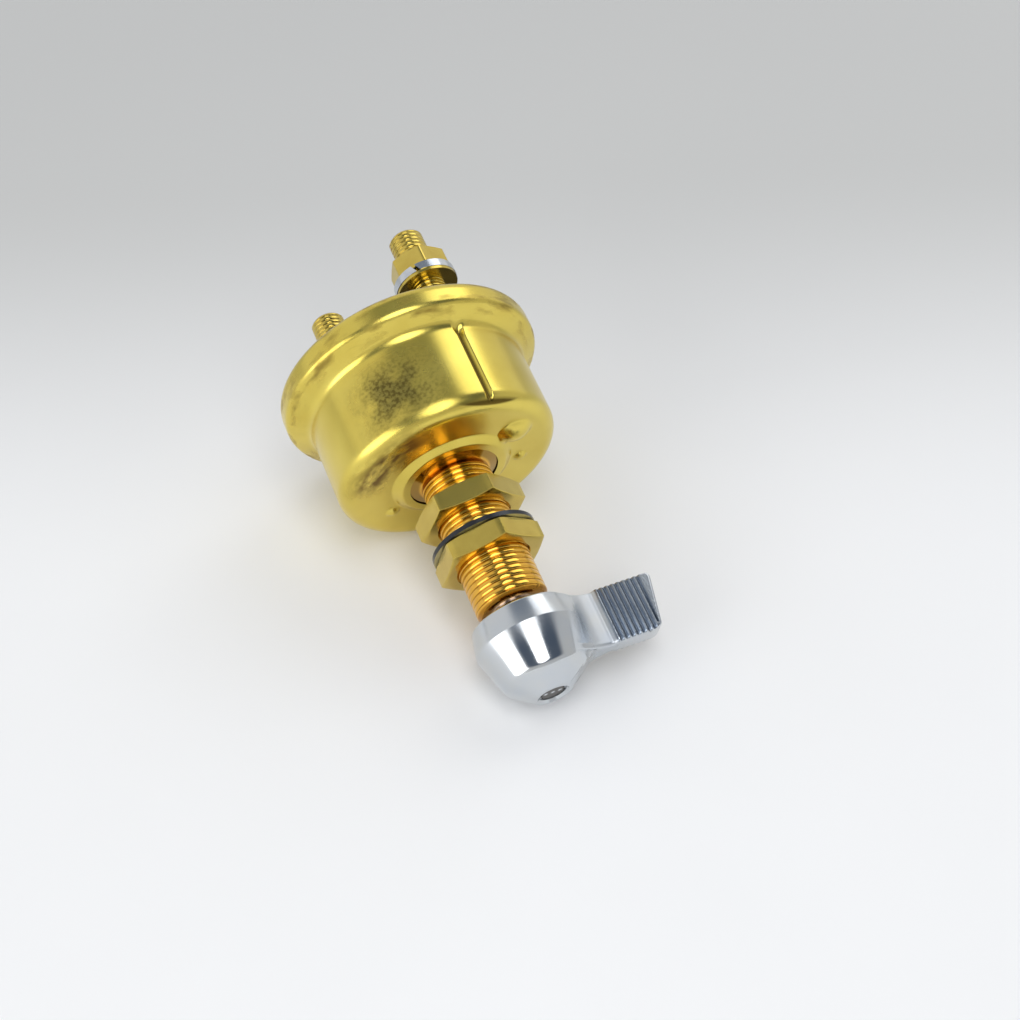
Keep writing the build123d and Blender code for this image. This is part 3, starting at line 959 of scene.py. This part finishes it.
# Bright-plated die-cast zinc: a cool silver with sharp reflections, softened by a faint orange-peel skin,
# cloudy tints of the plating and a duller, more grainy arm, which the polishing barrel hardly reached.
# The casting's grain is finer than this and is drawn coarser, so that it shows.
plated_zinc, tree, place = new_material("bright_plated_die_cast_zinc")
tint_cloud = add_node(tree, "TexNoise", {"Vector": place}, {"Scale": per_size(6.0), "Detail": 5.0})
cool_silver = add_node(
    tree,
    "Mix",
    {"Factor_Float": tint_cloud},
    {"A_Color": linear("#C4CCD6"), "B_Color": linear("#D4D4D0")},
    data_type="RGBA",
)
skin_noise = add_node(tree, "TexNoise", {"Vector": place}, {"Scale": per_size(1.6), "Detail": 3.0})
grain_noise = add_node(tree, "TexNoise", {"Vector": place}, {"Scale": per_size(0.6), "Detail": 2.0})
from_axis = axis_distance(tree, place)
on_arm = add_node(
    tree,
    "MapRange",
    {"Value": from_axis},
    {"From Min": hub_back_radius - 0.5 * MM, "From Max": hub_belly_radius + 1.5 * MM},
)
on_paddle = add_node(
    tree,
    "MapRange",
    {"Value": from_axis},
    {"From Min": paddle_start.x - 0.6 * MM, "From Max": paddle_start.x},
)
polished = add_node(tree, "MapRange", {"Value": tint_cloud}, {"To Min": 0.08, "To Max": 0.17})
neck_gloss = add_node(tree, "Mix", {"Factor_Float": on_arm, "A_Float": polished}, {"B_Float": 0.40})
gloss = add_node(tree, "Mix", {"Factor_Float": on_paddle, "A_Float": neck_gloss}, {"B_Float": 0.20})
skin = add_node(tree, "Bump", {"Height": skin_noise}, {"Strength": 0.08, "Distance": 0.05 * MM})
grainy = add_node(
    tree,
    "Bump",
    {"Height": grain_noise, "Strength": on_arm, "Normal": skin},
    {"Distance": 0.018 * MM},
)
# Painted shade: the steep flanks of the paddle's rib grooves are darkened to a grey-blue, as shade in the
# grooves.
facing = add_node(tree, "SeparateXYZ", {"Vector": add_node(tree, "TexCoord").outputs["Normal"]}).outputs["X"]
slant = add_node(tree, "Math", {"Value": facing}, operation="ABSOLUTE")
groove_flank_shade = product(tree, on_paddle, band(tree, slant, 0.5, 0.85, 0.08))
groove_shaded_zinc = add_node(
    tree,
    "Mix",
    {"Factor_Float": groove_flank_shade, "A_Color": cool_silver},
    {"B_Color": linear("#858F9C")},
    data_type="RGBA",
)
surface = add_node(
    tree,
    "BsdfPrincipled",
    {"Base Color": groove_shaded_zinc, "Roughness": gloss, "Normal": grainy},
    {"Metallic": 1.0},
)
add_node(tree, "OutputMaterial", {"Surface": surface})
lever.data.materials.append(plated_zinc)

# Shaft: a plated steel pin through the stem, its serrated front end peened over in the lever's nose.
# Three bright dabs in a row on its end are painted glints, and painted shade darkens the end face round them.
peened, tree, place = new_material("peened_zinc_plated_steel")
end_cloud = add_node(tree, "TexNoise", {"Vector": place}, {"Scale": per_size(1.2), "Detail": 3.0})
plated = add_node(
    tree,
    "Mix",
    {"Factor_Float": end_cloud},
    {"A_Color": linear("#F2F4F7"), "B_Color": linear("#D4D9DF")},
    data_type="RGBA",
)
shaft_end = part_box("shaft")[0].y
dab_spacing = 1.9 * MM
dab_radius = 0.75 * MM
dab_rise = 0.3 * MM
dab_core_share = 0.2
end_depth = 0.2 * MM
# Painted highlights: three glint spots on the shaft's end, left bright where the rest of the end is darkened.
glint_dabs = None
for step in (-1, 0, 1):
    centre = (step * dab_spacing, shaft_end, dab_rise)
    away = add_node(tree, "VectorMath", {"Vector": place}, {"Vector_001": centre}, operation="DISTANCE")
    glint_dab = add_node(
        tree,
        "MapRange",
        {"Value": away.outputs["Value"]},
        {"From Min": dab_radius, "From Max": dab_core_share * dab_radius},
    )
    glint_dabs = glint_dab if glint_dabs is None else add_node(
        tree, "Math", {"Value": glint_dabs, "Value_001": glint_dab}, operation="MAXIMUM"
    )
# Painted shade: the shaft's end round the glints is darkened to a dark grey.
along_shaft = add_node(tree, "SeparateXYZ", {"Vector": place}).outputs["Y"]
on_end = band(tree, along_shaft, nose_end, shaft_end + end_depth, 0.05 * MM)
off_glint_dabs = add_node(tree, "Math", {"Value_001": glint_dabs}, {"Value": 1.0}, operation="SUBTRACT")
end_shade_mask = product(tree, on_end, off_glint_dabs)
end_shaded = add_node(
    tree,
    "Mix",
    {"Factor_Float": end_shade_mask, "A_Color": plated},
    {"B_Color": linear("#4C4842")},
    data_type="RGBA",
)
dimples = add_node(tree, "Bump", {"Height": glint_dabs}, {"Strength": 0.5, "Distance": 0.1 * MM})
surface = add_node(
    tree,
    "BsdfPrincipled",
    {"Base Color": end_shaded, "Normal": dimples},
    {"Metallic": 1.0, "Roughness": 0.25},
)
add_node(tree, "OutputMaterial", {"Surface": surface})
dress("shaft", peened)

# Base plate and rotor: moulded from black phenolic, a hard heat-proof insulator.
# The base plate closes the can behind the rolled lip and carries the studs, and the shaft turns the rotor.
# Moulded phenolic: a dull brown-black whose filler shows as a faint grain.
phenolic, tree, place = new_material("moulded_black_phenolic")
filler = add_node(tree, "TexNoise", {"Vector": place}, {"Scale": per_size(0.9), "Detail": 5.0})
brown_black = add_node(
    tree,
    "Mix",
    {"Factor_Float": filler},
    {"A_Color": linear("#2A2320"), "B_Color": linear("#3A312B")},
    data_type="RGBA",
)
dull = add_node(tree, "MapRange", {"Value": filler}, {"To Min": 0.42, "To Max": 0.62})
grain = add_node(tree, "Bump", {"Height": filler}, {"Strength": 0.2, "Distance": 0.05 * MM})
surface = add_node(
    tree,
    "BsdfPrincipled",
    {"Base Color": brown_black, "Roughness": dull, "Normal": grain},
    {"IOR": 1.6},
)
add_node(tree, "OutputMaterial", {"Surface": surface})
dress("base_plate", phenolic)
dress("rotor_carrier", phenolic)

# Contact bridge and its spring: a copper bar is pressed on the stud heads by a coil of oiled spring wire
# round the rotor's boss. Bare rolled copper: a satin red that air has browned in clouds.
bare_copper, tree, place = new_material("bare_rolled_copper")
copper_cloud = add_node(tree, "TexNoise", {"Vector": place}, {"Scale": per_size(4.0), "Detail": 4.0})
copper_red = add_node(
    tree,
    "Mix",
    {"Factor_Float": copper_cloud},
    {"A_Color": linear("#DB9A78"), "B_Color": linear("#A8623F")},
    data_type="RGBA",
)
copper_gloss = add_node(tree, "MapRange", {"Value": copper_cloud}, {"To Min": 0.28, "To Max": 0.45})
surface = add_node(
    tree,
    "BsdfPrincipled",
    {"Base Color": copper_red, "Roughness": copper_gloss},
    {"Metallic": 1.0},
)
add_node(tree, "OutputMaterial", {"Surface": surface})
dress("contact_bridge", bare_copper)

# Oiled spring wire: a dark steel grey with an even, soft shine.
spring_wire, tree, place = new_material("oiled_spring_wire")
wire_cloud = add_node(tree, "TexNoise", {"Vector": place}, {"Scale": per_size(1.5), "Detail": 3.0})
wire_grey = add_node(
    tree,
    "Mix",
    {"Factor_Float": wire_cloud},
    {"A_Color": linear("#8E9196"), "B_Color": linear("#5E6064")},
    data_type="RGBA",
)
surface = add_node(
    tree,
    "BsdfPrincipled",
    {"Base Color": wire_grey},
    {"Metallic": 1.0, "Roughness": 0.35},
)
add_node(tree, "OutputMaterial", {"Surface": surface})
dress("contact_spring", spring_wire)

# Shaft seal: a moulded nitrile ring in the shaft's groove, pressed against the stem's bore.
# Matt nitrile rubber: almost black, with a grey bloom and hardly any shine.
nitrile, tree, place = new_material("matt_nitrile_rubber")
bloom = add_node(tree, "TexNoise", {"Vector": place}, {"Scale": per_size(0.8), "Detail": 4.0})
rubber_black = add_node(
    tree,
    "Mix",
    {"Factor_Float": bloom},
    {"A_Color": linear("#1C1C1D"), "B_Color": linear("#2B2B2C")},
    data_type="RGBA",
)
surface = add_node(
    tree,
    "BsdfPrincipled",
    {"Base Color": rubber_black},
    {"Roughness": 0.75},
)
add_node(tree, "OutputMaterial", {"Surface": surface})
dress("shaft_seal", nitrile)

# Floor: a sheet of plain white paper, with painted shade that darkens it to the rear. The switch lies on the
# front edge of its can and on the lever's hub, so the paper is tilted in the frame of the CAD. It fades into
# the room far away, and from below it lets the camera through.
edge_centre = Vector((0, housing_face + edge_round, -(wall_radius - edge_round)))
hub_foot = Vector((0, hub_belly, -hub_belly_radius))
between = edge_centre - hub_foot
floor_tilt = atan2(-between.z, between.y) + atan2(edge_round, sqrt(between.length**2 - edge_round**2))
floor_normal = Vector((0, sin(floor_tilt), cos(floor_tilt)))
contact = edge_centre - floor_normal * edge_round
floor_half = 2.5
shade_heading = (0.33, 0.94, 0.0)
shade_start, shade_end = -0.01, 0.19
fade_start, fade_end = 0.30, 1.10
right = Vector((1, 0, 0))
ahead = floor_normal.cross(right)
mesh = bmesh.new()
for across_share, ahead_share in ((-1, -1), (1, -1), (1, 1), (-1, 1)):
    mesh.verts.new(contact + right * floor_half * across_share + ahead * floor_half * ahead_share)
mesh.verts.ensure_lookup_table()
face = mesh.faces.new(mesh.verts)
face.normal_update()
if face.normal.dot(floor_normal) < 0:
    face.normal_flip()
data = bpy.data.meshes.new("paper_floor")
mesh.to_mesh(data)
mesh.free()
floor = bpy.data.objects.new("paper_floor", data)
bpy.context.scene.collection.objects.link(floor)

# Matt white paper: a white with no shine and a faint random cloud, darkened to the rear by painted shade.
paper, tree, place = new_material("matt_white_paper")
paper_cloud = add_node(tree, "TexNoise", {"Vector": place}, {"Scale": per_size(60.0), "Detail": 3.0})
paper_white = add_node(
    tree,
    "Mix",
    {"Factor_Float": paper_cloud},
    {"A_Color": linear("#F7F7F7"), "B_Color": linear("#F3F3F3")},
    data_type="RGBA",
)
# Painted shade: the paper turns grey towards the rear, as light falling off.
to_rear = add_node(
    tree, "VectorMath", {"Vector": place}, {"Vector_001": shade_heading}, operation="DOT_PRODUCT"
)
shaded = add_node(
    tree,
    "MapRange",
    {"Value": to_rear.outputs["Value"]},
    {"From Min": shade_start, "From Max": shade_end},
    interpolation_type="SMOOTHSTEP",
)
paper_tone = add_node(
    tree,
    "Mix",
    {"Factor_Float": shaded, "A_Color": paper_white},
    {"B_Color": linear("#CFCFCD")},
    data_type="RGBA",
)
surface = add_node(
    tree,
    "BsdfPrincipled",
    {"Base Color": paper_tone},
    {"Roughness": 0.9, "Specular IOR Level": 0.2},
)
away = add_node(tree, "VectorMath", {"Vector": place}, operation="LENGTH").outputs["Value"]
faded = add_node(
    tree,
    "MapRange",
    {"Value": away},
    {"From Min": fade_start, "From Max": fade_end},
    interpolation_type="SMOOTHSTEP",
)
below_or_far = add_node(
    tree,
    "Math",
    {"Value": add_node(tree, "NewGeometry").outputs["Backfacing"], "Value_001": faded},
    operation="MAXIMUM",
)
one_sided = add_node(
    tree,
    "MixShader",
    {
        "Fac": product(tree, below_or_far, add_node(tree, "LightPath").outputs["Is Camera Ray"]),
        "Shader": surface,
        "Shader_001": add_node(tree, "BsdfTransparent"),
    },
)
add_node(tree, "OutputMaterial", {"Surface": one_sided})
data.materials.append(paper)

# Studio: a pale room with a blue-grey ceiling, lighter to the rear left, and a white wall on the left.
# A long softbox hangs overhead, one stands behind on the right and a panel on the left. All are large and
# near, so that shadows stay soft.
world = bpy.data.worlds.new("pale_studio")
bpy.context.scene.world = world
world.use_nodes = True
tree = world.node_tree
tree.nodes.clear()
heading = add_node(tree, "TexCoord").outputs["Generated"]
split = add_node(tree, "SeparateXYZ", {"Vector": heading})
overhead = add_node(
    tree,
    "MapRange",
    {"Value": split.outputs["Z"]},
    {"From Min": 0.52, "From Max": 0.74},
    interpolation_type="SMOOTHSTEP",
)
rearwards = add_node(
    tree,
    "MapRange",
    {"Value": split.outputs["Y"]},
    {"From Min": 0.0, "From Max": 0.45},
    interpolation_type="SMOOTHSTEP",
)
ceiling = add_node(
    tree,
    "Mix",
    {"Factor_Float": rearwards},
    {"A_Color": linear("#56606F"), "B_Color": linear("#7E8690")},
    data_type="RGBA",
)
far_walls = add_node(
    tree,
    "Mix",
    {"Factor_Float": rearwards},
    {"A_Color": linear("#CDCDCD"), "B_Color": linear("#E6E6E6")},
    data_type="RGBA",
)
lit_side = add_node(
    tree,
    "MapRange",
    {"Value": split.outputs["X"]},
    {"From Min": -0.28, "From Max": -0.50},
    interpolation_type="SMOOTHSTEP",
)
lit_ceiling = add_node(
    tree,
    "Mix",
    {"Factor_Float": product(tree, lit_side, rearwards), "A_Color": ceiling},
    {"B_Color": linear("#E6E6E6")},
    data_type="RGBA",
)
room = add_node(
    tree,
    "Mix",
    {"Factor_Float": overhead, "A_Color": far_walls, "B_Color": lit_ceiling},
    data_type="RGBA",
)
left_wall = add_node(
    tree, "VectorMath", {"Vector": heading}, {"Vector_001": (-0.93, -0.37, 0.0)}, operation="DOT_PRODUCT"
)
leftwards = add_node(
    tree,
    "MapRange",
    {"Value": left_wall.outputs["Value"]},
    {"From Min": 0.70, "From Max": 0.95},
    interpolation_type="SMOOTHSTEP",
)
walls = add_node(
    tree,
    "Mix",
    {"Factor_Float": leftwards, "A_Color": room},
    {"B_Color": linear("#FFFFFF")},
    data_type="RGBA",
)
sky = add_node(tree, "Background", {"Color": walls}, {"Strength": 1.0})
add_node(tree, "OutputWorld", {"Surface": sky})

lamp_distance = 1.3
# Each lamp: name, shape, direction from the switch, width and length in metres, and power in watts
lamps = (
    ("overhead_softbox", "ELLIPSE", (-0.05, -0.20, 1.0), 0.72, 1.70, 8.8),
    ("rear_softbox", "RECTANGLE", (0.60, 0.46, 0.62), 0.75, 0.62, 2.2),
    ("left_panel", "RECTANGLE", (-0.93, -0.22, 0.34), 0.95, 1.05, 6.4),
)
for name, shape, towards, width, length, power in lamps:
    lamp = bpy.data.lights.new(name, "AREA")
    lamp.shape = shape
    lamp.size = width
    lamp.size_y = length
    lamp.energy = power
    held = bpy.data.objects.new(name, lamp)
    back = Vector(towards).normalized()
    side = Vector((0, 1, 0)).cross(back).normalized()
    held.matrix_world = Matrix((side, back.cross(side), back)).transposed().to_4x4()
    held.location = back * lamp_distance
    held.visible_camera = False
    bpy.context.scene.collection.objects.link(held)

# Camera: the photograph's view from above the lever's end, with a 53 mm lens on a 36 mm square.
sensor_size = 36.0
focal_pixels = 1500
picture_pixels = 1020
camera_data = bpy.data.cameras.new("photo_camera")
camera_data.sensor_width = sensor_size
camera_data.lens = sensor_size * focal_pixels / picture_pixels
camera_data.clip_start = 0.01
camera = bpy.data.objects.new("photo_camera", camera_data)
camera_back = Vector((-0.276, -0.425, 0.863)).normalized()
camera_right = Vector((0.289, 0.819, 0.496)).cross(camera_back).normalized()
camera_up = camera_back.cross(camera_right)
camera.matrix_world = Matrix((camera_right, camera_up, camera_back)).transposed().to_4x4()
camera.location = (-97.1 * MM, -164.8 * MM, 334.8 * MM)
bpy.context.scene.collection.objects.link(camera)
bpy.context.scene.camera = camera
bpy.context.scene.view_settings.view_transform = "Standard"
